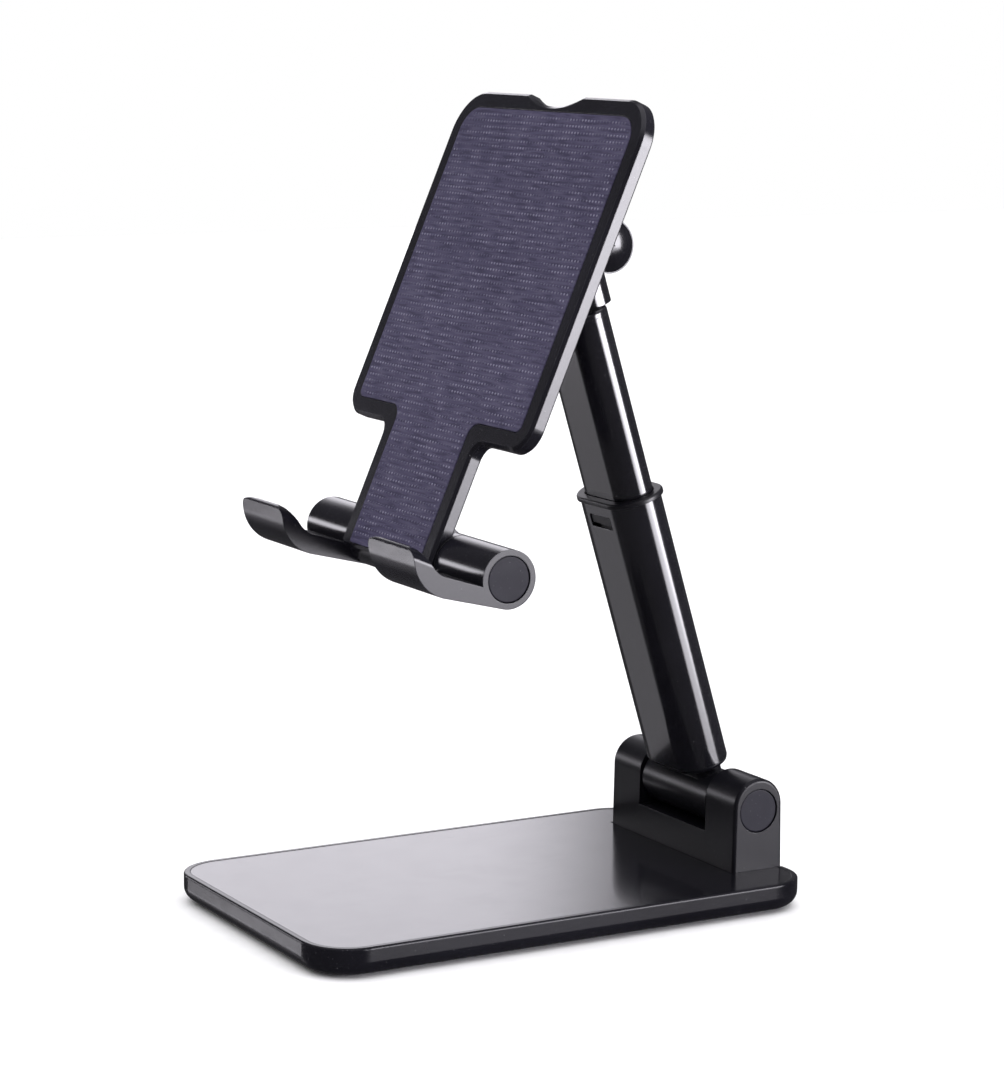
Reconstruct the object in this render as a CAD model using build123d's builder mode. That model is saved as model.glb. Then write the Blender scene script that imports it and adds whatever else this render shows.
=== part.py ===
from build123d import *
import os
from math import cos, radians, sin

# Foldable desk stand for a phone, in millimetres.
# Origin: centre of the base's underside. +X is the user's right, -Y the front, +Z up.
os.makedirs("parts", exist_ok=True)

# ---------------------------------------------------------------- driving dimensions
# Base
base_width = 80.0
base_length = 125.0
base_height = 7.0
base_corner = 11.0
skirt_low = 0.6
under_round = 3.2
rim_width = 1.5
rim_round = 0.5
panel_seat = 6.4
panel_thickness = 0.53
panel_gap = 0.06
cavity_inset = 5.0
ceiling = 5.2
cover_low = 0.8
cover_thickness = 1.4
boss_radius = 3.0
boss_spots = [(-28.0, -48.0), (28.0, -48.0), (-28.0, 36.0), (28.0, 36.0)]
weight_width = 66.0
weight_length = 100.0
weight_y = -4.0
weight_thickness = 2.7
weight_low = 2.35
bracket_screw_x = 20.4
bracket_screw_y = 53.6

# Lower hinge
hinge_y = 55.4
hinge_z = 20.8
ear_inner = 14.3
ear_outer = 26.5
ear_radius = 6.45
ear_crown_z = 21.8
foot_half_depth = 6.7
front_wall_top = 14.2
rear_ledge_top = 17.2
rear_ledge_y = 60.9

# Arm
arm_lean = 17.3
tube_width = 24.0
tube_depth = 13.0
tube_wall = 1.0
tube_low = 8.5
tube_top = 74.6
collar_low = 72.4
collar_top = 75.7
collar_proud = 0.7
flange_round = 0.8
inner_width = 21.0
inner_depth = 10.0
inner_wall = 1.0
inner_low = 69.4
inner_top = 118.5
slide_clearance = 0.2
plug_length = 14.0

# Upper hinge, measured along the arm and behind its axis
pivot_station = 135.5
pivot_behind = 2.2
knuckle_half = 8.0
tilt_ear_inner = 8.7
tilt_ear_outer = 20.0
tilt_ear_radius = 6.1

# Plate, measured on its front face from the centre of its head
plate_lean = 23.27
pivot_up = 11.8
pivot_depth = 14.85
plate_width = 82.0
head_top = 40.5
shoulder = -39.4
neck_width = 40.8
neck_end = -69.0
pad_end = -68.2
top_corner = 10.0
low_corner = 6.0
inner_corner = 3.5
neck_corner = 1.5
small_corner = 1.4
frame_depth = 3.4
skin_back = 1.9
rim_wall = 1.2
cover_gap = 0.1
cover_face = 2.0
cover_back = 3.4
cover_end = -60.0
pad_inset = 4.0
pad_seat = 0.5
pad_proud = 0.15
pad_gap = 0.15
notch_radius = 27.8
notch_depth = 2.6
plate_screw_spots = [(-14.4, 17.0), (14.4, 17.0), (-14.4, 6.5), (14.4, 6.5), (-12.0, -59.2), (12.0, -59.2)]

# Hooks
bar_up = -65.0
bar_depth = 7.63
bar_radius = 6.43
hook_inner = 20.8
hook_outer = 41.5

# Hardware
lower_shaft_radius = 2.0
tilt_shaft_radius = 1.75
hook_shaft_radius = 1.5
running_fit = 0.05
screw_clearance = 0.05
loose = 0.1
stem_wall = 1.0
cross_span = 0.9
cross_width = 0.25

# ---------------------------------------------------------------- frames of reference
lean = radians(arm_lean)
tilt = radians(plate_lean)
arm_up = Vector(0, -sin(lean), cos(lean))
arm_rear = Vector(0, cos(lean), sin(lean))
plate_up = Vector(0, sin(tilt), cos(tilt))
plate_out = Vector(0, -cos(tilt), sin(tilt))
hinge_point = Vector(0, hinge_y, hinge_z)
pivot_point = hinge_point + arm_up * pivot_station + arm_rear * pivot_behind
plate_point = pivot_point - plate_up * pivot_up + plate_out * pivot_depth
bar_point = plate_point + plate_up * bar_up - plate_out * bar_depth

# Sections across the arm: local z runs up the arm, local y to its rear.
arm_plane = Plane(origin=hinge_point, x_dir=(1, 0, 0), z_dir=arm_up)
# Sections of the plate: local y runs up the plate, local z out of its front face.
plate_plane = Plane(origin=plate_point, x_dir=(1, 0, 0), z_dir=plate_out)
# Profiles of the plate from its side: local x out of the front face, local y up the plate.
plate_side = Plane(origin=plate_point, x_dir=plate_out, z_dir=(-1, 0, 0))
# Planes across each hinge axis: local z runs along +X.
lower_axis = Plane(origin=hinge_point, x_dir=(0, 1, 0), z_dir=(1, 0, 0))
tilt_axis = Plane(origin=pivot_point, x_dir=plate_out, z_dir=(1, 0, 0))
bar_axis = Plane(origin=bar_point, x_dir=plate_out, z_dir=(1, 0, 0))


def arm_face(station):
    """Plane across the arm's depth at a station, local z pointing to the rear."""
    return Plane(origin=hinge_point + arm_up * station, x_dir=(1, 0, 0), z_dir=arm_rear)


def finish(builder, name):
    """Label a finished piece and write it to its own STEP file."""
    builder.part.label = name
    export_step(builder.part, f"parts/{name}.step")


# ---------------------------------------------------------------- repeated shapes
def turned(axis_plane, steps):
    """A solid turned about the plane's normal, from (start, end, radius) steps."""
    with BuildPart() as piece:
        for start, end, radius in steps:
            with BuildSketch(axis_plane.offset(start)):
                Circle(radius)
            extrude(amount=end - start)
    return piece


def hinge_bolt(axis_plane, radius, half_length, head_radius, head_height):
    """A shouldered hinge bolt with a screwdriver slot in its head on the -X side."""
    shank = (-half_length, half_length, radius)
    head = (-half_length, head_height - half_length, head_radius)
    slot_width = radius / 2
    slot_depth = head_height / 2
    blank = turned(axis_plane, [shank, head])
    with BuildPart() as bolt:
        add(blank.part)
        with BuildSketch(axis_plane.offset(-half_length)):
            Rectangle(2 * head_radius, slot_width)
        extrude(amount=slot_depth, mode=Mode.SUBTRACT)
    return bolt


def hex_nut(axis_plane, start, height, radius, bore):
    """A lock nut with its rounded collar, on the +X side."""
    collar_height = height / 4
    with BuildPart() as nut:
        with BuildSketch(axis_plane.offset(start)):
            RegularPolygon(radius, 6)
        extrude(amount=height - collar_height)
        with BuildSketch(axis_plane.offset(start + height - collar_height)):
            Circle(radius * cos(radians(30)))
        extrude(amount=collar_height)
        with BuildSketch(axis_plane.offset(start)):
            Circle(bore)
        extrude(amount=height, mode=Mode.SUBTRACT)
    return nut


def washer_pair(axis_plane, start, thickness, radius, bore):
    """Two friction washers, one on each side of the middle plane."""
    with BuildPart() as pair:
        for low in (start, -start - thickness):
            with BuildSketch(axis_plane.offset(low)):
                Circle(radius)
                Circle(bore, mode=Mode.SUBTRACT)
            extrude(amount=thickness)
    return pair


def end_cap(axis_plane, face, radius, thickness, stem_radius, stem_length, crown):
    """A round push-in cap whose outer face is at `face` on the +X side."""
    with BuildPart() as cap:
        with BuildSketch(axis_plane.offset(face - thickness)):
            Circle(radius)
        extrude(amount=thickness)
        fillet(cap.faces().sort_by(Axis.X)[-1].edges(), crown)
        with BuildSketch(axis_plane.offset(face - thickness - stem_length)):
            Circle(stem_radius)
            Circle(stem_radius - stem_wall, mode=Mode.SUBTRACT)
        extrude(amount=stem_length)
    return cap


def domed_cap(axis_plane, face, radius, height, stem_radius, stem_length):
    """A round push-in cap with a domed outer face that stands on `face` on the +X side."""
    profile = Plane(origin=axis_plane.origin, x_dir=axis_plane.z_dir, z_dir=axis_plane.y_dir)
    dome = (radius ** 2 + height ** 2) / (2 * height)
    half_way = face + height - dome + (dome ** 2 - radius ** 2 / 4) ** 0.5
    with BuildPart() as cap:
        with BuildSketch(profile):
            with BuildLine():
                ThreePointArc((face, radius), (half_way, radius / 2), (face + height, 0))
                Polyline((face + height, 0), (face, 0), (face, radius))
            make_face()
        revolve(axis=Axis(axis_plane.origin, axis_plane.z_dir))
        with BuildSketch(axis_plane.offset(face - stem_length)):
            Circle(stem_radius)
            Circle(stem_radius - stem_wall, mode=Mode.SUBTRACT)
        extrude(amount=stem_length)
    return cap


def both_sides(piece):
    """A piece together with its mirror image on the -X side."""
    with BuildPart() as pair:
        add(piece.part)
        mirror(about=Plane.YZ)
    return pair


def cross_screws(plane, spots, head_radius, head_height, radius, length):
    """Cross-head screws whose heads stand on the plane and whose shanks run along its normal."""
    recess = head_radius * cross_span
    recess_width = head_radius * cross_width
    with BuildPart() as screws:
        with BuildSketch(plane):
            with Locations(*spots):
                Circle(head_radius)
        extrude(amount=head_height)
        with BuildSketch(plane.offset(head_height)):
            with Locations(*spots):
                Circle(radius)
        extrude(amount=length)
        with BuildSketch(plane):
            with Locations(*spots):
                Rectangle(recess, recess_width)
                Rectangle(recess_width, recess)
        extrude(amount=head_height / 2, mode=Mode.SUBTRACT)
    return screws


def plate_outline(inset, end=neck_end):
    """The plate's T-shaped outline, moved inwards by `inset`, with the neck ending at `end`."""
    head_width = plate_width - 2 * inset
    top = head_top - inset
    low = shoulder + inset
    width = neck_width - 2 * inset
    with BuildSketch() as outline:
        with Locations((0, (top + low) / 2)):
            Rectangle(head_width, top - low)
        with Locations((0, (low + end) / 2)):
            Rectangle(width, low - end)
        fillet(outline.vertices().group_by(Axis.Y)[-1], max(top_corner - inset, small_corner))
        fillet(outline.vertices().group_by(Axis.Y)[0], max(neck_corner - inset, neck_corner / 2))
        shoulder_row = outline.vertices().filter_by(lambda corner: abs(corner.Y - low) < small_corner)
        shoulder_row = shoulder_row.sort_by(Axis.X)
        fillet([shoulder_row[0], shoulder_row[-1]], max(low_corner - inset, small_corner))
        shoulder_row = outline.vertices().filter_by(lambda corner: abs(corner.Y - low) < small_corner)
        inner_row = shoulder_row.filter_by(lambda corner: abs(corner.X) < neck_width / 2 + small_corner)
        fillet(inner_row, inner_corner)
    return outline.sketch


def ring_sector(plane, inner, outer, start, sweep, amount):
    """A block shaped as a sector of a ring, from `start` over `sweep` degrees."""
    with BuildPart() as block:
        with BuildSketch(plane):
            with BuildLine():
                rim = CenterArc((0, 0), outer, start, sweep)
                bore = CenterArc((0, 0), inner, start, sweep)
                Line(rim @ 0, bore @ 0)
                Line(rim @ 1, bore @ 1)
            make_face()
        extrude(amount=amount)
    return block


# ---------------------------------------------------------------- base
cavity_width = base_width - 2 * cavity_inset
cavity_length = base_length - 2 * cavity_inset
cavity_corner = base_corner - cavity_inset
cover_top = cover_low + cover_thickness
screw_radius = 0.9
pilot_radius = screw_radius + screw_clearance
bracket_spots = [(-bracket_screw_x, bracket_screw_y), (bracket_screw_x, bracket_screw_y)]
footprint_front = hinge_y - foot_half_depth - loose
panel_inset = rim_width + panel_gap

with BuildPart() as base_tray:
    with BuildSketch(Plane.XY.offset(skirt_low)):
        RectangleRounded(base_width, base_length, base_corner)
    extrude(amount=base_height - skirt_low)
    fillet(base_tray.faces().sort_by(Axis.Z)[0].edges(), under_round)
    fillet(base_tray.faces().sort_by(Axis.Z)[-1].edges(), rim_round)
    with BuildSketch(Plane.XY.offset(panel_seat)):
        RectangleRounded(base_width - 2 * rim_width, base_length - 2 * rim_width, base_corner - rim_width)
        with Locations((0, (footprint_front + base_length / 2) / 2)):
            Rectangle(2 * (ear_outer + loose), base_length / 2 - footprint_front)
    extrude(amount=base_height - panel_seat, mode=Mode.SUBTRACT)
    with BuildSketch(Plane.XY.offset(skirt_low)):
        RectangleRounded(cavity_width, cavity_length, cavity_corner)
    extrude(amount=ceiling - skirt_low, mode=Mode.SUBTRACT)
    with BuildSketch(Plane.XY.offset(cover_top)):
        with Locations(*boss_spots):
            Circle(boss_radius)
    extrude(amount=ceiling - cover_top)
    with BuildSketch(Plane.XY.offset(cover_top)):
        with Locations(*boss_spots):
            Circle(pilot_radius)
    extrude(amount=ceiling - cover_top, mode=Mode.SUBTRACT)
    with BuildSketch(Plane.XY.offset(ceiling)):
        with Locations(*bracket_spots):
            Circle(pilot_radius + running_fit)
    extrude(amount=panel_seat - ceiling, mode=Mode.SUBTRACT)
finish(base_tray, "base_tray")

with BuildPart() as top_panel:
    with BuildSketch(Plane.XY.offset(panel_seat)):
        RectangleRounded(base_width - 2 * panel_inset, base_length - 2 * panel_inset,
                         base_corner - panel_inset)
        with Locations((0, (footprint_front - loose + base_length / 2) / 2)):
            Rectangle(2 * (ear_outer + 2 * loose), base_length / 2 - footprint_front + loose,
                      mode=Mode.SUBTRACT)
    extrude(amount=panel_thickness)
finish(top_panel, "top_panel")

with BuildPart() as counterweight:
    with BuildSketch(Plane.XY.offset(weight_low)):
        with Locations((0, weight_y)):
            RectangleRounded(weight_width, weight_length, cavity_corner / 2)
        with Locations(*boss_spots):
            Circle(boss_radius + 2 * loose, mode=Mode.SUBTRACT)
    extrude(amount=weight_thickness)
finish(counterweight, "counterweight")

cover_screw_head = 1.8
cover_screw_head_height = 0.8
with BuildPart() as bottom_cover:
    with BuildSketch(Plane.XY.offset(cover_low)):
        RectangleRounded(cavity_width - 4 * loose, cavity_length - 4 * loose, cavity_corner - 2 * loose)
        with Locations(*boss_spots):
            Circle(pilot_radius, mode=Mode.SUBTRACT)
    extrude(amount=cover_thickness)
    with BuildSketch(Plane.XY.offset(cover_low)):
        with Locations(*boss_spots):
            Circle(cover_screw_head + loose)
    extrude(amount=cover_screw_head_height, mode=Mode.SUBTRACT)
finish(bottom_cover, "bottom_cover")

cover_screw_length = ceiling - cover_low - cover_screw_head_height
cover_screws = cross_screws(Plane.XY.offset(cover_low), boss_spots, cover_screw_head, cover_screw_head_height,
                            screw_radius, cover_screw_length)
finish(cover_screws, "cover_screws")

pad_margin = 1.2
with BuildPart() as anti_slip_pad:
    with BuildSketch(Plane.XY):
        RectangleRounded(cavity_width - 2 * pad_margin, cavity_length - 2 * pad_margin,
                         cavity_corner - pad_margin)
    extrude(amount=cover_low)
finish(anti_slip_pad, "anti_slip_pad")

# ---------------------------------------------------------------- lower hinge
lower_pocket = 4.2
lower_pocket_floor = 20.8
lower_cap_radius = 5.0
lower_cap_face = ear_outer - 0.25
lower_cap_thickness = 0.9
bolt_head_height = 1.7
edge_break = 0.8
bracket_pilot_depth = 6.0
lower_bolt_half = 22.6
lower_bolt_head = 3.6
lower_nut_height = 1.9
lower_nut_radius = 3.7
lower_washer_radius = 5.2
lower_washer_thickness = 0.6
cap_stem = 1.4
lower_cap_crown = 0.3

with BuildPart() as hinge_bracket:
    with BuildSketch(Plane.YZ.offset(-ear_outer)):
        with BuildLine():
            foot_rear = (hinge_y + foot_half_depth, panel_seat)
            foot_front = (hinge_y - foot_half_depth, panel_seat)
            crown_rear = (hinge_y + ear_radius, ear_crown_z)
            crown_front = (hinge_y - ear_radius, ear_crown_z)
            Polyline(crown_front, foot_front, foot_rear, crown_rear)
            ThreePointArc(crown_rear, (hinge_y, ear_crown_z + ear_radius), crown_front)
        make_face()
    extrude(amount=2 * ear_outer)
    end_faces = hinge_bracket.faces().filter_by(Axis.X)
    upper_edges = end_faces.edges().filter_by(lambda edge: edge.center().Z > base_height)
    fillet(upper_edges, edge_break)
    with BuildSketch(Plane.XY.offset(front_wall_top)):
        with Locations((0, rear_ledge_y - ear_radius * 2)):
            Rectangle(2 * ear_inner, ear_radius * 4)
    extrude(amount=ear_radius * 4, mode=Mode.SUBTRACT)
    with BuildSketch(Plane.XY.offset(rear_ledge_top)):
        with Locations((0, hinge_y)):
            Rectangle(2 * ear_inner, 4 * ear_radius)
    extrude(amount=ear_radius * 4, mode=Mode.SUBTRACT)
    with BuildSketch(lower_axis.offset(-ear_outer)):
        Circle(lower_shaft_radius + running_fit)
    extrude(amount=2 * ear_outer, mode=Mode.SUBTRACT)
    for start in (-ear_outer, lower_pocket_floor):
        with BuildSketch(lower_axis.offset(start)):
            Circle(lower_pocket)
        extrude(amount=ear_outer - lower_pocket_floor, mode=Mode.SUBTRACT)
    seat_depth = ear_outer - lower_cap_face + lower_cap_thickness
    for start in (-ear_outer, ear_outer - seat_depth):
        with BuildSketch(lower_axis.offset(start)):
            Circle(lower_cap_radius + loose)
        extrude(amount=seat_depth, mode=Mode.SUBTRACT)
    with BuildSketch(Plane.XY.offset(panel_seat)):
        with Locations(*bracket_spots):
            Circle(pilot_radius)
    extrude(amount=bracket_pilot_depth, mode=Mode.SUBTRACT)
finish(hinge_bracket, "hinge_bracket")

bracket_screw_head = 2.0
bracket_screw_head_height = 1.3
bracket_screw_length = 6.8
bracket_screws = cross_screws(Plane.XY.offset(ceiling - bracket_screw_head_height), bracket_spots,
                              bracket_screw_head, bracket_screw_head_height, screw_radius,
                              bracket_screw_length)
finish(bracket_screws, "bracket_screws")

lower_shaft = hinge_bolt(lower_axis, lower_shaft_radius, lower_bolt_half, lower_bolt_head, bolt_head_height)
finish(lower_shaft, "lower_shaft")

lower_nut = hex_nut(lower_axis, lower_pocket_floor + loose, lower_nut_height, lower_nut_radius,
                    lower_shaft_radius + screw_clearance)
finish(lower_nut, "lower_nut")

lower_knuckle_half = 13.5
lower_washers = washer_pair(lower_axis, lower_knuckle_half + loose, lower_washer_thickness,
                            lower_washer_radius, lower_shaft_radius + loose)
finish(lower_washers, "lower_washers")

lower_cap = end_cap(lower_axis, lower_cap_face, lower_cap_radius, lower_cap_thickness,
                    lower_pocket - loose, cap_stem, lower_cap_crown)
lower_caps = both_sides(lower_cap)
finish(lower_caps, "lower_caps")

# ---------------------------------------------------------------- lower arm
knuckle_radius = 6.2
knuckle_relief = 0.3
socket_width = tube_width - 2 * tube_wall
socket_depth = tube_depth - 2 * tube_wall
socket_plug_top = 14.0
neck_depth = 6.4
flange_low = 7.4
heel_radius = 7.2
heel_start = -11.0
heel_sweep = 20.0
heel_half = 5.0
knuckle_screw_station = 11.2
knuckle_screw_spots = [(-5.5, 0), (5.5, 0)]
knuckle_screw_head = 1.6
knuckle_screw_head_height = 0.9
knuckle_screw_length = 4.0
screw_seat = tube_depth / 2 - tube_wall
heel = ring_sector(lower_axis.offset(-heel_half), knuckle_radius - tube_wall, heel_radius, heel_start,
                   heel_sweep, 2 * heel_half)

with BuildPart() as lower_knuckle:
    with BuildSketch(arm_plane.offset(flange_low)):
        SlotOverall(tube_width - knuckle_relief, tube_depth - knuckle_relief)
    extrude(amount=tube_low - flange_low)
    fillet(lower_knuckle.faces().sort_by(Axis((0, 0, 0), arm_up))[0].edges(), flange_round)
    with BuildSketch(lower_axis.offset(-lower_knuckle_half)):
        Circle(knuckle_radius)
    extrude(amount=2 * lower_knuckle_half)
    with BuildSketch(arm_plane):
        SlotOverall(socket_width, neck_depth)
    extrude(amount=flange_low)
    with BuildSketch(arm_plane.offset(tube_low)):
        SlotOverall(socket_width - slide_clearance, socket_depth - slide_clearance)
    extrude(amount=socket_plug_top - tube_low)
    add(heel.part)
    with BuildSketch(lower_axis.offset(-lower_knuckle_half)):
        Circle(lower_shaft_radius + running_fit)
    extrude(amount=2 * lower_knuckle_half, mode=Mode.SUBTRACT)
    with BuildSketch(arm_face(knuckle_screw_station).offset(screw_seat)):
        with Locations(*knuckle_screw_spots):
            Circle(pilot_radius)
    extrude(amount=-knuckle_screw_length - loose, mode=Mode.SUBTRACT)
finish(lower_knuckle, "lower_knuckle")

window_width = 9.0
window_low = 68.8
window_top = 71.9
window_corner = 0.6
tab_low = 69.7
tab_top = 71.7
tab_face = 6.2
tab_reach = 5.15
collar_round = 0.5

with BuildPart() as outer_tube:
    with BuildSketch(arm_plane.offset(tube_low)):
        SlotOverall(tube_width, tube_depth)
        SlotOverall(socket_width, socket_depth, mode=Mode.SUBTRACT)
    extrude(amount=tube_top - tube_low)
    with BuildSketch(arm_face((window_low + window_top) / 2)):
        RectangleRounded(window_width, window_top - window_low, window_corner)
    extrude(amount=-tube_depth, mode=Mode.SUBTRACT)
    with BuildSketch(arm_face(knuckle_screw_station)):
        with Locations(*knuckle_screw_spots):
            Circle(knuckle_screw_head + loose)
    extrude(amount=tube_depth, mode=Mode.SUBTRACT)
finish(outer_tube, "outer_tube")

knuckle_screw_depth = screw_seat + knuckle_screw_head_height
knuckle_screw_top = arm_face(knuckle_screw_station).origin + arm_rear * knuckle_screw_depth
knuckle_screw_plane = Plane(origin=knuckle_screw_top, x_dir=(1, 0, 0), z_dir=-arm_rear)
knuckle_screws = cross_screws(knuckle_screw_plane, knuckle_screw_spots, knuckle_screw_head,
                              knuckle_screw_head_height, screw_radius, knuckle_screw_length)
finish(knuckle_screws, "knuckle_screws")

with BuildPart() as collar:
    with BuildSketch(arm_plane.offset(tube_top)):
        SlotOverall(tube_width + 2 * collar_proud, tube_depth + 2 * collar_proud)
    extrude(amount=collar_top - tube_top)
    upper_rim = collar.faces().sort_by(Axis((0, 0, 0), arm_up))[-1].edges()
    fillet(upper_rim, collar_round)
    with BuildSketch(arm_plane.offset(collar_low)):
        SlotOverall(socket_width - loose, socket_depth - loose)
    extrude(amount=tube_top - collar_low)
    with BuildSketch(arm_plane.offset(collar_low)):
        SlotOverall(inner_width + 2 * slide_clearance, inner_depth + 2 * slide_clearance)
    extrude(amount=collar_top - collar_low, mode=Mode.SUBTRACT)
finish(collar, "collar")

with BuildPart() as stop_tab:
    with BuildSketch(arm_face((tab_low + tab_top) / 2).offset(-tab_face)):
        RectangleRounded(window_width - 2 * loose, tab_top - tab_low, window_corner - loose)
    extrude(amount=tab_face - tab_reach)
finish(stop_tab, "stop_tab")

# ---------------------------------------------------------------- upper arm
bore_width = inner_width - 2 * inner_wall
bore_depth = inner_depth - 2 * inner_wall
pin_radius = 1.0
pin_reach = 3.0
pin_head = inner_depth / 2 - 0.4
slider_pin_station = 75.0
knuckle_pin_station = 113.5
spigot_length = 9.5
pocket_width = 8.0
pocket_height = 7.0
pocket_depth = 0.8
pocket_corner = 0.8
pocket_station = 62.5
brake_face = socket_depth / 2 - loose

with BuildPart() as inner_tube:
    with BuildSketch(arm_plane.offset(inner_low)):
        SlotOverall(inner_width, inner_depth)
        SlotOverall(bore_width, bore_depth, mode=Mode.SUBTRACT)
    extrude(amount=inner_top - inner_low)
    for station in (slider_pin_station, knuckle_pin_station):
        with BuildSketch(arm_face(station)):
            Circle(pin_radius + screw_clearance)
        extrude(amount=inner_depth, mode=Mode.SUBTRACT)
finish(inner_tube, "inner_tube")

with BuildPart() as slider_plug:
    with BuildSketch(arm_plane.offset(inner_low - plug_length)):
        SlotOverall(socket_width - 2 * slide_clearance, socket_depth - 2 * slide_clearance)
    extrude(amount=plug_length)
    with BuildSketch(arm_plane.offset(inner_low)):
        SlotOverall(bore_width - slide_clearance, bore_depth - slide_clearance)
    extrude(amount=spigot_length)
    plug_face = socket_depth / 2 - slide_clearance
    for side in (-1, 1):
        with BuildSketch(arm_face(pocket_station).offset(side * plug_face)):
            Rectangle(pocket_width, pocket_height)
        extrude(amount=-side * pocket_depth, mode=Mode.SUBTRACT)
    with BuildSketch(arm_face(slider_pin_station).offset(-pin_reach)):
        Circle(pin_radius + screw_clearance)
    extrude(amount=inner_depth, mode=Mode.SUBTRACT)
finish(slider_plug, "slider_plug")

with BuildPart() as slider_pads:
    for side in (-1, 1):
        with BuildSketch(arm_face(pocket_station).offset(side * brake_face)):
            RectangleRounded(pocket_width - 2 * loose, pocket_height - 2 * loose, pocket_corner)
        extrude(amount=-side * (pocket_depth + loose / 2))
finish(slider_pads, "slider_pads")

for name, station in (("slider_pin", slider_pin_station), ("knuckle_pin", knuckle_pin_station)):
    cross_pin = turned(arm_face(station), [(loose - pin_reach, pin_head, pin_radius)])
    finish(cross_pin, name)

flange_height = 1.6
throat_top = pivot_station - 3.0
knuckle_step = 0.2
throat_front = -2.0
throat_rear = 7.7
throat_corner = 4.4
plug_tail = 10.0

with BuildPart() as upper_knuckle:
    with BuildSketch(arm_plane.offset(inner_top - plug_tail)):
        SlotOverall(bore_width - slide_clearance, bore_depth - slide_clearance)
    extrude(amount=plug_tail)
    with BuildSketch(arm_plane.offset(inner_top)):
        SlotOverall(inner_width, inner_depth)
    extrude(amount=flange_height)
    fillet(upper_knuckle.faces().sort_by(Axis((0, 0, 0), arm_up))[-1].edges(), flange_round)
    with BuildSketch(arm_plane.offset(inner_top + flange_height)):
        with Locations((0, (throat_front + throat_rear) / 2)):
            RectangleRounded(2 * knuckle_half, throat_rear - throat_front, throat_corner)
    extrude(amount=throat_top - inner_top - flange_height)
    with BuildSketch(tilt_axis.offset(-knuckle_half)):
        Circle(tilt_ear_radius - knuckle_step)
    extrude(amount=2 * knuckle_half)
    with BuildSketch(tilt_axis.offset(-knuckle_half)):
        Circle(tilt_shaft_radius + running_fit)
    extrude(amount=2 * knuckle_half, mode=Mode.SUBTRACT)
    with BuildSketch(arm_face(knuckle_pin_station).offset(-pin_reach)):
        Circle(pin_radius + screw_clearance)
    extrude(amount=inner_depth, mode=Mode.SUBTRACT)
finish(upper_knuckle, "upper_knuckle")

# ---------------------------------------------------------------- plate
front_axis = Axis((0, 0, 0), plate_out)
frame_chamfer = 0.7
rear_chamfer = 0.4
screw_head_seat = 1.35
plate_screw_head = 1.7
plate_screw_head_height = 0.8
plate_screw_radius = 0.8
plate_screw_length = 4.0
bar_relief = 0.12
rebate = rim_wall
cover_inset = rim_wall + cover_gap
notch_centre = head_top - notch_depth + notch_radius
plate_shape = plate_outline(0)
pad_seat_shape = plate_outline(pad_inset, pad_end)
pad_shape = plate_outline(pad_inset + pad_gap, pad_end + pad_gap)
rebate_shape = plate_outline(rebate, cover_end - cover_gap)
cover_shape = plate_outline(cover_inset, cover_end)

with BuildPart() as front_frame:
    with BuildSketch(plate_plane.offset(-frame_depth)):
        add(plate_shape)
        with Locations((0, notch_centre)):
            Circle(notch_radius, mode=Mode.SUBTRACT)
    extrude(amount=frame_depth)
    chamfer(front_frame.faces().sort_by(front_axis)[-1].edges(), frame_chamfer)
    chamfer(front_frame.faces().sort_by(front_axis)[0].edges(), rear_chamfer)
    with BuildSketch(plate_plane.offset(-pad_seat)):
        add(pad_seat_shape)
    extrude(amount=pad_seat, mode=Mode.SUBTRACT)
    with BuildSketch(plate_plane.offset(-frame_depth)):
        add(rebate_shape)
        with Locations((0, notch_centre)):
            Circle(notch_radius + rebate, mode=Mode.SUBTRACT)
    extrude(amount=frame_depth - skin_back, mode=Mode.SUBTRACT)
    with BuildSketch(plate_plane.offset(-skin_back)):
        with Locations(*plate_screw_spots):
            Circle(plate_screw_radius + screw_clearance)
    extrude(amount=skin_back, mode=Mode.SUBTRACT)
    with BuildSketch(plate_plane.offset(-screw_head_seat)):
        with Locations(*plate_screw_spots):
            Circle(plate_screw_head + loose)
    extrude(amount=screw_head_seat, mode=Mode.SUBTRACT)
    with BuildSketch(bar_axis.offset(-plate_width / 2)):
        Circle(bar_radius + bar_relief)
    extrude(amount=plate_width, mode=Mode.SUBTRACT)
finish(front_frame, "front_frame")

with BuildPart() as grip_pad:
    with BuildSketch(plate_plane.offset(-pad_seat)):
        add(pad_shape)
    extrude(amount=pad_seat + pad_proud)
    fillet(grip_pad.faces().sort_by(front_axis)[-1].edges(), pad_proud)
finish(grip_pad, "grip_pad")

plate_screw_top = plate_point + plate_out * (plate_screw_head_height - screw_head_seat)
plate_screw_plane = Plane(origin=plate_screw_top, x_dir=(1, 0, 0), z_dir=-plate_out)
plate_screw_places = [(across, -up) for across, up in plate_screw_spots]
plate_screws = cross_screws(plate_screw_plane, plate_screw_places, plate_screw_head, plate_screw_head_height,
                            plate_screw_radius, plate_screw_length)
finish(plate_screws, "plate_screws")

tilt_web_height = 17.0
tilt_web_root = 0.8
tilt_ear_width = tilt_ear_outer - tilt_ear_inner
tilt_pocket = 3.4
tilt_pocket_floor = 15.3
tilt_cap_radius = 5.8
tilt_cap_height = 1.7
tilt_bolt_half = 16.8
tilt_bolt_head = 3.0
tilt_nut_height = 1.6
tilt_nut_radius = 3.1
tilt_washer_radius = 4.8
tilt_washer_thickness = 0.5
small_stem = 1.2
small_bolt_head_height = 1.4
hook_recess = 0.35
hook_washer_radius = 4.3
track_inner = 4.75
track_outer = 5.95
track_depth = 1.5
track_start = 178.0
track_sweep = 124.0
neck_bar_half = neck_width / 2
clamp_top = -57.0
clamp_half = 15.0
pilot_end = plate_screw_length + screw_head_seat
hook_track = ring_sector(bar_axis.offset(-neck_bar_half), track_inner, track_outer, track_start, track_sweep,
                         track_depth)
hook_tracks = both_sides(hook_track)

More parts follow.
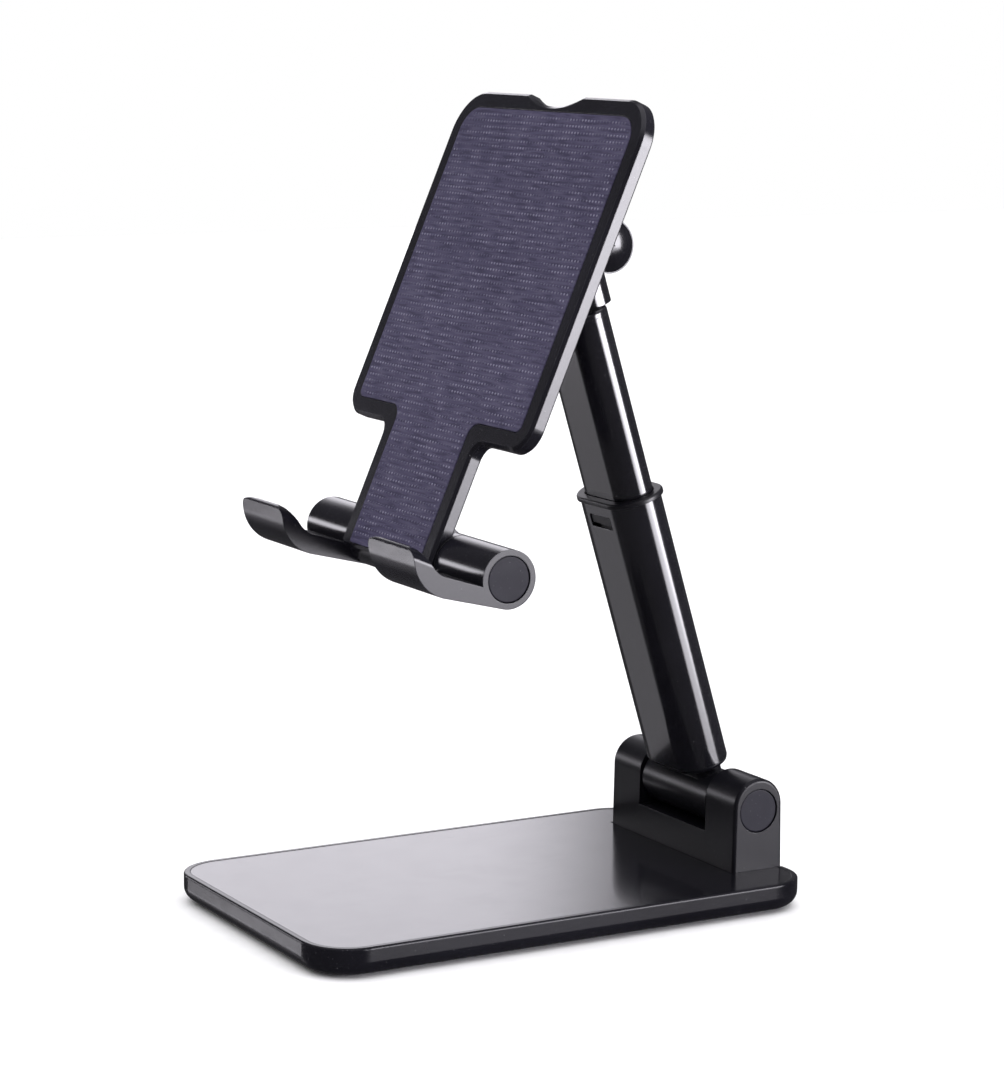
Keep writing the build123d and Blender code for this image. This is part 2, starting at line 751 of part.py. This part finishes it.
with BuildPart() as back_cover:
    with BuildSketch(plate_plane.offset(-cover_back)):
        add(cover_shape)
        with Locations((0, notch_centre)):
            Circle(notch_radius + cover_inset, mode=Mode.SUBTRACT)
    extrude(amount=cover_back - cover_face)
    for start in (tilt_ear_inner, -tilt_ear_outer):
        with BuildSketch(plate_side.offset(-start - tilt_ear_width)):
            with Locations((-pivot_depth, pivot_up)):
                Circle(tilt_ear_radius)
            with Locations((tilt_web_root / 2 - cover_back, pivot_up)):
                Rectangle(tilt_web_root, tilt_web_height)
            make_hull()
        extrude(amount=tilt_ear_width)
    with BuildSketch(plate_side.offset(-neck_bar_half)):
        with Locations((-bar_depth, bar_up)):
            Circle(bar_radius)
    extrude(amount=neck_width)
    with BuildSketch(plate_side.offset(-clamp_half)):
        with BuildLine():
            Polyline((-cover_back, clamp_top), (-bar_depth, bar_up + bar_radius), (-bar_depth, bar_up),
                     (-cover_back, cover_end), (-cover_back, clamp_top))
        make_face()
    extrude(amount=2 * clamp_half)
    with BuildSketch(plate_plane.offset(-cover_face)):
        with Locations(*plate_screw_spots):
            Circle(plate_screw_radius + screw_clearance)
    extrude(amount=cover_face - pilot_end - loose, mode=Mode.SUBTRACT)
    with BuildSketch(tilt_axis.offset(-tilt_ear_outer)):
        Circle(tilt_shaft_radius + running_fit)
    extrude(amount=2 * tilt_ear_outer, mode=Mode.SUBTRACT)
    for start in (-tilt_ear_outer, tilt_pocket_floor):
        with BuildSketch(tilt_axis.offset(start)):
            Circle(tilt_pocket)
        extrude(amount=tilt_ear_outer - tilt_pocket_floor, mode=Mode.SUBTRACT)
    with BuildSketch(bar_axis.offset(-neck_bar_half)):
        Circle(hook_shaft_radius + running_fit)
    extrude(amount=neck_width, mode=Mode.SUBTRACT)
    for start in (-neck_bar_half, neck_bar_half - hook_recess):
        with BuildSketch(bar_axis.offset(start)):
            Circle(hook_washer_radius + 2 * loose)
        extrude(amount=hook_recess, mode=Mode.SUBTRACT)
    add(hook_tracks.part, mode=Mode.SUBTRACT)
finish(back_cover, "back_cover")

upper_shaft = hinge_bolt(tilt_axis, tilt_shaft_radius, tilt_bolt_half, tilt_bolt_head, small_bolt_head_height)
finish(upper_shaft, "upper_shaft")

upper_nut = hex_nut(tilt_axis, tilt_pocket_floor + loose, tilt_nut_height, tilt_nut_radius,
                    tilt_shaft_radius + screw_clearance)
finish(upper_nut, "upper_nut")

upper_washers = washer_pair(tilt_axis, knuckle_half + loose, tilt_washer_thickness, tilt_washer_radius,
                            tilt_shaft_radius + loose)
finish(upper_washers, "upper_washers")

upper_cap = domed_cap(tilt_axis, tilt_ear_outer, tilt_cap_radius, tilt_cap_height, tilt_pocket - loose,
                      small_stem)
upper_caps = both_sides(upper_cap)
finish(upper_caps, "upper_caps")

# ---------------------------------------------------------------- hooks
hook_pocket = 3.2
hook_pocket_floor = 35.0
hook_cap_radius = 5.0
hook_cap_face = hook_outer - 0.2
hook_cap_thickness = 0.9
hook_cap_crown = 0.25
hook_bolt_half = 36.6
hook_bolt_head = 2.8
hook_nut_height = 1.4
hook_nut_radius = 2.9
lip_top = -66.0
lip_front = 8.5
lip_reach = 10.0
lip_corner_width = 5.0
lip_corner_drop = 2.6
lug_start = 272.0
lug_sweep = 26.0
lug_length = 1.2
lug_trim = 0.3

hook_shaft = hinge_bolt(bar_axis, hook_shaft_radius, hook_bolt_half, hook_bolt_head, small_bolt_head_height)
finish(hook_shaft, "hook_shaft")

hook_nut = hex_nut(bar_axis, hook_pocket_floor + loose, hook_nut_height, hook_nut_radius,
                   hook_shaft_radius + screw_clearance)
finish(hook_nut, "hook_nut")

hook_washers = washer_pair(bar_axis, neck_bar_half - hook_recess, hook_recess + loose, hook_washer_radius,
                           hook_shaft_radius + loose)
finish(hook_washers, "hook_washers")

hook_width = hook_outer - hook_inner
hook_lug = ring_sector(bar_axis.offset(hook_inner - lug_length), track_inner + lug_trim,
                       track_outer - lug_trim, lug_start, lug_sweep, 2 * lug_length)
with BuildPart() as right_hook:
    with BuildSketch(plate_side.offset(-hook_outer)):
        with Locations((-bar_depth, bar_up)):
            Circle(bar_radius)
        with BuildLine():
            floor = Line((-8.4, -71.38), (5.4, -73.7))
            bend = TangentArc(floor @ 1, (15.3, -69.1), tangent=floor % 1)
            curl = Line(bend @ 1, (16.6, -67.0))
            tip = ThreePointArc(curl @ 1, (15.6, -66.0), (14.1, -66.2))
            inside = Line(tip @ 1, (11.6, -67.8))
            hollow = ThreePointArc(inside @ 1, (9.9, -68.9), (7.6, -69.5))
            shelf = Line(hollow @ 1, (-3.0, -68.4))
            Polyline(shelf @ 1, (-bar_depth, bar_up), floor @ 0)
        make_face()
    extrude(amount=hook_width)
    with BuildSketch(plate_plane.offset(lip_front)):
        for corner, direction in ((hook_outer, -1), (hook_inner, 1)):
            with Locations((corner + direction * lip_corner_width / 2, lip_top)):
                Rectangle(lip_corner_width, 2 * lip_corner_drop)
            with Locations((corner + direction * lip_corner_width, lip_top - lip_corner_drop)):
                Ellipse(lip_corner_width, lip_corner_drop, mode=Mode.SUBTRACT)
    extrude(amount=lip_reach, mode=Mode.SUBTRACT)
    with BuildSketch(bar_axis.offset(hook_inner)):
        Circle(hook_shaft_radius + running_fit)
    extrude(amount=hook_width, mode=Mode.SUBTRACT)
    with BuildSketch(bar_axis.offset(hook_pocket_floor)):
        Circle(hook_pocket)
    extrude(amount=hook_outer - hook_pocket_floor, mode=Mode.SUBTRACT)
    hook_seat_depth = hook_outer - hook_cap_face + hook_cap_thickness
    with BuildSketch(bar_axis.offset(hook_outer - hook_seat_depth)):
        Circle(hook_cap_radius + loose)
    extrude(amount=hook_seat_depth, mode=Mode.SUBTRACT)
    add(hook_lug.part)
finish(right_hook, "right_hook")

with BuildPart() as left_hook:
    mirror(right_hook.part, about=Plane.YZ)
finish(left_hook, "left_hook")

right_cap = end_cap(bar_axis, hook_cap_face, hook_cap_radius, hook_cap_thickness, hook_pocket - loose,
                    small_stem, hook_cap_crown)
finish(right_cap, "right_cap")

with BuildPart() as left_cap:
    mirror(right_cap.part, about=Plane.YZ)
finish(left_cap, "left_cap")
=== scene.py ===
from math import cos, radians, sin

import bmesh
import bpy
from mathutils import Matrix, Vector


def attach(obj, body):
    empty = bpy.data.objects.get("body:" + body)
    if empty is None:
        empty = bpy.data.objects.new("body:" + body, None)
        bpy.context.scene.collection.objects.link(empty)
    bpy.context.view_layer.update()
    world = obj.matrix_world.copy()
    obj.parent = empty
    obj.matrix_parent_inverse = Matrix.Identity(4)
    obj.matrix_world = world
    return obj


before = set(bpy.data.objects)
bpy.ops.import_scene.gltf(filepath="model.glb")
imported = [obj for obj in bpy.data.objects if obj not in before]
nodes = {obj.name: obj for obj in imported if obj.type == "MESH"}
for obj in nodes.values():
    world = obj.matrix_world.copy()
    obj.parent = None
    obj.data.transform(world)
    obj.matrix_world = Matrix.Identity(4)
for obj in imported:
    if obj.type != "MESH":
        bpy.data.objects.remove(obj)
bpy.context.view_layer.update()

# ---------------------------------------------------------------- sizes, in metres and degrees
MM = 0.001
PLATE_LEAN = radians(23.27)
PLATE_UP = Vector((0, sin(PLATE_LEAN), cos(PLATE_LEAN)))
PLATE_OUT = Vector((0, -cos(PLATE_LEAN), sin(PLATE_LEAN)))

# ---------------------------------------------------------------- camera
CAMERA_PLACE = Vector((0.61928, -0.35283, 0.20225))
CAMERA_TURN = radians(60.18)
CAMERA_DIP = radians(9.323)
CAMERA_ROLL = radians(0.518)
CAMERA_LENS = 108.32
CAMERA_SENSOR = 36
CAMERA_NEAR = 0.01

look = Vector((
    -sin(CAMERA_TURN) * cos(CAMERA_DIP),
    cos(CAMERA_TURN) * cos(CAMERA_DIP),
    -sin(CAMERA_DIP),
))
level = look.cross(Vector((0, 0, 1))).normalized()
above = level.cross(look)
right = level * cos(CAMERA_ROLL) + above * sin(CAMERA_ROLL)
up = above * cos(CAMERA_ROLL) - level * sin(CAMERA_ROLL)
camera_data = bpy.data.cameras.new("camera")
camera_data.lens = CAMERA_LENS
camera_data.sensor_width = CAMERA_SENSOR
camera_data.clip_start = CAMERA_NEAR
camera = bpy.data.objects.new("camera", camera_data)
turn = Matrix((right, up, -look)).transposed().to_4x4()
camera.matrix_world = Matrix.Translation(CAMERA_PLACE) @ turn
bpy.context.scene.collection.objects.link(camera)
bpy.context.scene.camera = camera


# ---------------------------------------------------------------- node helpers
class Graph:
    """A short way to write a shader's nodes."""

    def __init__(self, tree):
        self.tree = tree
        tree.nodes.clear()

    def put(self, socket, value):
        if value is None:
            return
        if hasattr(value, "is_output"):
            self.tree.links.new(value, socket)
        else:
            socket.default_value = value

    def node(self, kind, inputs=(), out=0, **settings):
        made = self.tree.nodes.new(kind)
        for key, value in settings.items():
            setattr(made, key, value)
        for key, value in dict(inputs).items():
            self.put(made.inputs[key], value)
        return made.outputs[out]

    def math(self, operation, first, second=None, clamp=False):
        made = self.tree.nodes.new("ShaderNodeMath")
        made.operation = operation
        made.use_clamp = clamp
        self.put(made.inputs[0], first)
        self.put(made.inputs[1], second)
        return made.outputs[0]

    def span(self, value, low, high, to_low=0.0, to_high=1.0):
        """A smooth step of value between low and high."""
        return self.node(
            "ShaderNodeMapRange",
            {"Value": value, "From Min": low, "From Max": high, "To Min": to_low, "To Max": to_high},
            interpolation_type="SMOOTHSTEP",
        )

    def noise(self, place, scale, detail=3.0, rough=0.5):
        inputs = {"Vector": place, "Scale": scale, "Detail": detail, "Roughness": rough}
        return self.node("ShaderNodeTexNoise", inputs)

    def stretch(self, place, scale, turn=(0.0, 0.0, 0.0)):
        return self.node("ShaderNodeMapping", {"Vector": place, "Scale": scale, "Rotation": turn})

    def mix(self, factor, first, second):
        made = self.tree.nodes.new("ShaderNodeMix")
        made.data_type = "RGBA"
        self.put(made.inputs["Factor"], factor)
        self.put(made.inputs["A"], first)
        self.put(made.inputs["B"], second)
        return made.outputs["Result"]

    def ramp(self, value, stops):
        made = self.tree.nodes.new("ShaderNodeValToRGB")
        elements = made.color_ramp.elements
        while len(elements) < len(stops):
            elements.new(0.5)
        for element, (place, colour) in zip(elements, stops):
            element.position = place
            element.color = colour
        self.put(made.inputs[0], value)
        return made.outputs[0]

    def bump(self, height, distance, strength=1.0, normal=None):
        inputs = {"Height": height, "Distance": distance, "Strength": strength, "Normal": normal}
        return self.node("ShaderNodeBump", inputs)


def rgb(red, green, blue):
    return (red, green, blue, 1.0)


EDGE_ROUND = 0.25 * MM
EDGE_STARTS = 0.97
EDGE_FULL = 0.80
COAT_ROUGHNESS = 0.06


def surface(name, build):
    """A new material whose build(graph, place, edge, eased) returns the inputs of its shader."""
    material = bpy.data.materials.new(name)
    material.use_nodes = True
    graph = Graph(material.node_tree)
    place = graph.node("ShaderNodeTexCoord", out="Object")
    eased = graph.node("ShaderNodeBevel", {"Radius": EDGE_ROUND})
    facing = graph.node("ShaderNodeNewGeometry", out="Normal")
    alike = graph.node("ShaderNodeVectorMath", {0: eased, 1: facing}, out="Value", operation="DOT_PRODUCT")
    edge = graph.span(alike, EDGE_STARTS, EDGE_FULL)
    shader = graph.tree.nodes.new("ShaderNodeBsdfPrincipled")
    for key, value in build(graph, place, edge, eased).items():
        graph.put(shader.inputs[key], value)
    output = graph.tree.nodes.new("ShaderNodeOutputMaterial")
    graph.tree.links.new(shader.outputs[0], output.inputs[0])
    return material


def moulded(dark, light, rough, grain, edge_wear_and_highlight, coat=0.0, specular=0.5):
    """Moulded or lacquered black plastic: flow tone, handling marks, dust, and edges made paler partly as
    rubbed wear and partly as a painted edge highlight.
    """

    def build(graph, place, edge, eased):
        flow = graph.noise(place, 38.0, 4.0)
        smear = graph.noise(graph.stretch(place, (1.0, 1.0, 3.0), (0.4, 0.2, 0.9)), 120.0, 5.0, 0.6)
        dust = graph.span(graph.noise(place, 2600.0, 1.0), 0.74, 0.80)
        # Edges are mixed towards a paler grey below: partly rubbed wear, partly a painted edge highlight.
        rubbed = graph.math("MULTIPLY", edge, graph.span(flow, 0.35, 0.6, 0.4, 1.0))
        tone = graph.mix(graph.span(flow, 0.35, 0.70), rgb(*dark), rgb(*light))
        tone = graph.mix(graph.math("MULTIPLY", dust, 0.22), tone, rgb(0.35, 0.35, 0.36))
        tone = graph.mix(graph.math("MULTIPLY", rubbed, edge_wear_and_highlight), tone, rgb(0.12, 0.12, 0.13))
        marks = graph.span(smear, 0.30, 0.75, rough * 0.95, rough * 1.08)
        scratch_place = graph.stretch(place, (1.0, 0.12, 1.0), (0.5, 0.3, 0.7))
        scratch = graph.span(graph.noise(scratch_place, 1500.0, 2.0), 0.66, 0.72, 0.0, 0.03)
        roughness = graph.math("ADD", marks, scratch)
        peel = graph.noise(place, 900.0, 2.0)
        fine = graph.noise(place, 5200.0, 2.0)
        height = graph.math("ADD", peel, graph.math("MULTIPLY", fine, grain))
        return {
            "Base Color": tone,
            "Roughness": roughness,
            "Specular IOR Level": specular,
            "Coat Weight": coat,
            "Coat Roughness": COAT_ROUGHNESS,
            "Normal": graph.bump(height, 0.000004, 1.0, eased),
        }

    return build


def silicone(graph, place, edge, eased):
    """Slate silicone with faint raised lines across the plate, painted paler on the raised lines as
    highlight and darker in the sunk ones as shade, and paler handling dust.
    """
    flat = graph.stretch(place, (1.0, 1.0, 1.0), (PLATE_LEAN, 0.0, 0.0))
    lines = graph.noise(graph.stretch(flat, (0.10, 1.0, 1.0)), 1500.0, 2.0, 0.5)
    specks = graph.noise(graph.stretch(flat, (0.6, 1.0, 1.0)), 2600.0, 1.0)
    cloud = graph.noise(place, 45.0, 3.0)
    raised = graph.span(lines, 0.54, 0.66)
    sunk_shade = graph.span(lines, 0.47, 0.37)
    tone = graph.mix(graph.span(cloud, 0.3, 0.7), rgb(0.052, 0.046, 0.088), rgb(0.062, 0.055, 0.102))
    # Painted highlight on the raised lines and painted shade in the sunk ones.
    tone = graph.mix(graph.math("MULTIPLY", raised, 0.22), tone, rgb(0.12, 0.112, 0.17))
    tone = graph.mix(graph.math("MULTIPLY", sunk_shade, 0.38), tone, rgb(0.018, 0.016, 0.034))
    tone = graph.mix(graph.span(specks, 0.68, 0.76, 0.0, 0.35), tone, rgb(0.24, 0.235, 0.30))
    height = graph.math("ADD", lines, graph.math("MULTIPLY", specks, 0.5))
    return {
        "Base Color": tone,
        "Roughness": graph.span(lines, 0.3, 0.7, 0.78, 0.62),
        "Specular IOR Level": 0.25,
        "Normal": graph.bump(height, 0.00008, 0.6),
    }


def dot_silicone(graph, place, edge, eased):
    """The paler, rubbed tops of the pad's raised dots."""
    rub = graph.noise(place, 220.0, 3.0)
    fine = graph.noise(place, 4200.0, 2.0)
    worn = graph.span(rub, 0.38, 0.66)
    tone = graph.mix(worn, rgb(0.066, 0.060, 0.108), rgb(0.20, 0.19, 0.27))
    return {
        "Base Color": tone,
        "Roughness": graph.span(fine, 0.3, 0.7, 0.50, 0.68),
        "Specular IOR Level": 0.35,
        "Normal": graph.bump(fine, 0.00002, 0.5),
    }


def foam_rubber(graph, place, edge, eased):
    """Matt black foamed rubber with open pores, painted darker in the pore hollows as shade."""
    pores = graph.node("ShaderNodeTexVoronoi", {"Vector": place, "Scale": 1400.0})
    # The ramp darkens the pore hollows: painted shade.
    tone = graph.ramp(pores, [(0.0, rgb(0.006, 0.006, 0.006)), (0.5, rgb(0.03, 0.03, 0.03))])
    return {"Base Color": tone, "Roughness": graph.span(pores, 0.0, 0.6, 0.95, 0.8),
            "Normal": graph.bump(pores, 0.0002, 0.7)}


def steel(graph, place, edge, eased):
    """Zinc-plated steel with fine turning marks and duller patches."""
    marks = graph.noise(graph.stretch(place, (12.0, 1.0, 1.0)), 900.0, 3.0)
    patch = graph.noise(place, 160.0, 3.0)
    tone = graph.mix(graph.span(patch, 0.35, 0.65), rgb(0.42, 0.42, 0.43), rgb(0.60, 0.60, 0.62))
    return {"Base Color": tone, "Metallic": 1.0, "Roughness": graph.span(marks, 0.3, 0.7, 0.25, 0.42),
            "Normal": graph.bump(marks, 0.00002)}


def cast_iron(graph, place, edge, eased):
    """Raw cast iron with a sandy skin and rust in the hollows."""
    sand = graph.noise(place, 700.0, 5.0, 0.65)
    rust = graph.span(graph.noise(place, 60.0, 4.0), 0.5, 0.65)
    tone = graph.mix(graph.math("MULTIPLY", rust, 0.5), rgb(0.09, 0.088, 0.085), rgb(0.17, 0.075, 0.035))
    return {"Base Color": tone, "Metallic": 0.55, "Roughness": graph.span(sand, 0.3, 0.7, 0.6, 0.85),
            "Normal": graph.bump(sand, 0.0003)}


GLOSS = ((0.0046, 0.0044, 0.0064), (0.0076, 0.0074, 0.0102))
SATIN = ((0.0060, 0.0058, 0.0084), (0.0100, 0.0096, 0.0136))
CAP = ((0.011, 0.0105, 0.016), (0.016, 0.0155, 0.023))

recipes = {
    "tray_satin": moulded(*GLOSS, rough=0.20, grain=0.3, edge_wear_and_highlight=0.25, specular=0.25),
    "panel_satin": moulded(*GLOSS, rough=0.17, grain=0.5, edge_wear_and_highlight=0.1, coat=0.2),
    "bracket_satin": moulded(*GLOSS, rough=0.32, grain=0.3, edge_wear_and_highlight=0.25, specular=0.25),
    "arm_gloss": moulded(*GLOSS, rough=0.15, grain=0.25, edge_wear_and_highlight=0.25, coat=0.3, specular=0.9),
    "dome_gloss": moulded(*GLOSS, rough=0.20, grain=0.25, edge_wear_and_highlight=0.25, coat=0.2),
    "plate_satin": moulded(*SATIN, rough=0.17, grain=0.8, edge_wear_and_highlight=0.5),
    "hook_gloss": moulded(*SATIN, rough=0.18, grain=0.3, edge_wear_and_highlight=0.3, specular=0.35),
    "cap_grey": moulded(*CAP, rough=0.40, grain=1.0, edge_wear_and_highlight=0.3, specular=0.15),
    "liner": moulded(*GLOSS, rough=0.35, grain=0.6, edge_wear_and_highlight=0.2),
    "silicone": silicone,
    "dot_silicone": dot_silicone,
    "foam_rubber": foam_rubber,
    "steel": steel,
    "cast_iron": cast_iron,
}
materials = {name: surface(name, recipe) for name, recipe in recipes.items()}
node_material = {
    "base_tray": "tray_satin", "hinge_bracket": "bracket_satin", "top_panel": "panel_satin",
    "counterweight": "cast_iron", "anti_slip_pad": "foam_rubber", "slider_pads": "foam_rubber",
    "bottom_cover": "liner", "collar": "liner", "stop_tab": "liner", "slider_plug": "liner",
    "lower_washers": "liner", "upper_washers": "liner", "hook_washers": "liner",
    "lower_knuckle": "bracket_satin", "outer_tube": "arm_gloss", "inner_tube": "arm_gloss",
    "upper_knuckle": "arm_gloss", "front_frame": "plate_satin", "back_cover": "plate_satin",
    "left_hook": "hook_gloss", "right_hook": "hook_gloss", "left_cap": "cap_grey", "right_cap": "cap_grey",
    "lower_caps": "cap_grey", "upper_caps": "dome_gloss", "grip_pad": "silicone",
}
for name, node in nodes.items():
    node.data.materials.clear()
    node.data.materials.append(materials[node_material.get(name, "steel")])

# ---------------------------------------------------------------- raised dots of the grip pad
DOT_RADIUS = 0.30 * MM
DOT_HEIGHT = 0.14 * MM
DOT_SINK = 0.03 * MM
DOT_SIDES = 6
DOT_CROWN = 0.55
DOT_STEP = 1.25 * MM
DOT_ROW = 1.50 * MM
DOT_MARGIN = 0.9 * MM
DOT_PROBES = 8
DOT_RINGS = ((1.0, -DOT_SINK), (0.85, DOT_HEIGHT * DOT_CROWN))
FULL_TURN = radians(360)

pad = nodes["grip_pad"]
pad_points = [vertex.co.copy() for vertex in pad.data.vertices]
pad_face = max(point.dot(PLATE_OUT) for point in pad_points)
pad_rows = [point.dot(PLATE_UP) for point in pad_points]
pad_half = max(point.x for point in pad_points)
pad_sheet = Matrix((Vector((1, 0, 0)), PLATE_UP, PLATE_OUT)).transposed()


def pad_spot(across, along, proud):
    """A point of the pad's face, from its distances across, along and above it."""
    return pad_sheet @ Vector((across, along, pad_face + proud))


def on_pad(across, along):
    """Whether a whole dot fits on the pad's flat face at this place."""
    for probe in range(DOT_PROBES):
        angle = FULL_TURN * probe / DOT_PROBES
        spot = pad_spot(across + DOT_MARGIN * cos(angle), along + DOT_MARGIN * sin(angle), DOT_HEIGHT)
        found, point, normal, face = pad.ray_cast(spot, -PLATE_OUT, distance=DOT_HEIGHT + DOT_SINK)
        if not found:
            return False
    return True


dots = bmesh.new()
row_count = int((max(pad_rows) - min(pad_rows)) / DOT_ROW)
dot_count = int(pad_half / DOT_STEP)
for row in range(1, row_count):
    along = max(pad_rows) - row * DOT_ROW
    stagger = DOT_STEP / 2 * (row % 2)
    for column in range(-dot_count, dot_count + 1):
        across = column * DOT_STEP + stagger
        if not on_pad(across, along):
            continue
        rings = []
        for reach, proud in DOT_RINGS:
            spread = DOT_RADIUS * reach
            ring = []
            for side in range(DOT_SIDES):
                angle = FULL_TURN * side / DOT_SIDES
                corner = pad_spot(across + spread * cos(angle), along + spread * sin(angle), proud)
                ring.append(dots.verts.new(corner))
            rings.append(ring)
        tip = dots.verts.new(pad_spot(across, along, DOT_HEIGHT))
        for side in range(DOT_SIDES):
            after = (side + 1) % DOT_SIDES
            dots.faces.new((rings[0][side], rings[0][after], rings[1][after], rings[1][side]))
            dots.faces.new((rings[1][side], rings[1][after], tip))
        dots.faces.new(list(reversed(rings[0])))
for face in dots.faces:
    face.smooth = True
dots_mesh = bpy.data.meshes.new("pad_dots")
dots.to_mesh(dots_mesh)
dots.free()
pad_dots = bpy.data.objects.new("pad_dots", dots_mesh)
bpy.context.scene.collection.objects.link(pad_dots)
pad_dots.data.materials.append(materials["dot_silicone"])
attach(pad_dots, "plate")

# ---------------------------------------------------------------- floor
FLOOR_HALF = 2.0
FLOOR_CELLS = 6
floor_mesh = bpy.data.meshes.new("floor")
floor_grid = bmesh.new()
bmesh.ops.create_grid(floor_grid, x_segments=FLOOR_CELLS, y_segments=FLOOR_CELLS, size=FLOOR_HALF)
floor_grid.to_mesh(floor_mesh)
floor_grid.free()
floor = bpy.data.objects.new("floor", floor_mesh)
bpy.context.scene.collection.objects.link(floor)
floor.visible_glossy = False


def floor_paper(graph, place, edge, eased):
    """Plain pale studio paper."""
    fibre = graph.noise(place, 220.0, 4.0)
    tone = graph.mix(graph.span(fibre, 0.3, 0.7), rgb(0.90, 0.90, 0.90), rgb(0.93, 0.93, 0.93))
    return {"Base Color": tone, "Roughness": 0.9, "Specular IOR Level": 0.1}


floor_mesh.materials.append(surface("floor_paper", floor_paper))

# ---------------------------------------------------------------- studio
# Softboxes: azimuth from +X and half width, elevation at that azimuth and half height, edge softness,
# slant of the box in degrees of height per degree of turn, and brightness.
SOFTBOXES = [
    (36.0, 15.0, 0.0, 13.0, 3.0, 0.288, 7.0),
    (36.0, 15.0, 6.0, 13.0, 2.5, 0.0, 12.0),
    (-151.0, 8.0, 5.0, 4.0, 1.5, 0.0, 8.0),
    (-155.5, 3.0, -18.0, 2.6, 1.0, 0.0, 5.0),
    (-157.0, 8.0, -27.0, 8.0, 3.0, 0.0, 0.40),
    (161.0, 12.5, 16.0, 8.0, 2.0, 0.0, 2.3),
]
SKY = 0.12
CEILING = 0.8
GROUND = 0.07
TINT = (0.955, 0.93, 1.0, 1.0)
HALF_TURN = radians(180)
HORIZON_LOW = radians(-6)
HORIZON_HIGH = radians(12)
CEILING_LOW = radians(40)
CEILING_HIGH = radians(65)

world = bpy.data.worlds.new("studio")
bpy.context.scene.world = world
world.use_nodes = True
studio = Graph(world.node_tree)
direction = studio.node("ShaderNodeTexCoord")
split = studio.tree.nodes.new("ShaderNodeSeparateXYZ")
studio.tree.links.new(direction, split.inputs[0])
azimuth = studio.math("ARCTAN2", split.outputs["Y"], split.outputs["X"])
elevation = studio.math("ARCSINE", split.outputs["Z"])
light = studio.span(elevation, HORIZON_LOW, HORIZON_HIGH, GROUND, SKY)
overhead_glow = studio.span(elevation, CEILING_LOW, CEILING_HIGH, 0.0, CEILING)
light = studio.math("ADD", light, overhead_glow)
for centre, half_width, height, half_height, soft, slant, power in SOFTBOXES:
    turned = studio.math("SUBTRACT", azimuth, radians(centre))
    turned = studio.math("WRAP", turned, HALF_TURN)
    turned.node.inputs[2].default_value = -HALF_TURN
    climb = studio.math("ADD", studio.math("MULTIPLY", turned, slant), radians(height))
    away = studio.math("ABSOLUTE", turned)
    rise = studio.math("ABSOLUTE", studio.math("SUBTRACT", elevation, climb))
    side = studio.span(away, radians(half_width - soft), radians(half_width + soft), 1.0, 0.0)
    tall = studio.span(rise, radians(half_height - soft), radians(half_height + soft), 1.0, 0.0)
    glow = studio.math("MULTIPLY", studio.math("MULTIPLY", side, tall), power)
    light = studio.math("ADD", light, glow)
lamps = studio.node("ShaderNodeBackground", {"Color": TINT, "Strength": light})
paper = studio.node("ShaderNodeBackground", {"Color": rgb(1.0, 1.0, 1.0), "Strength": 1.0})
seen = studio.node("ShaderNodeLightPath")
backdrop = studio.node("ShaderNodeMixShader", {0: seen, 1: lamps, 2: paper})
world_output = studio.tree.nodes.new("ShaderNodeOutputWorld")
studio.tree.links.new(backdrop, world_output.inputs[0])

OVERHEAD_POWER = 3.3
OVERHEAD_SPREAD = radians(120)
overhead_data = bpy.data.lights.new("overhead", "SUN")
overhead_data.energy = OVERHEAD_POWER
overhead_data.angle = OVERHEAD_SPREAD
overhead = bpy.data.objects.new("overhead", overhead_data)
overhead.visible_glossy = False
bpy.context.scene.collection.objects.link(overhead)

bpy.context.scene.view_settings.view_transform = "Standard"
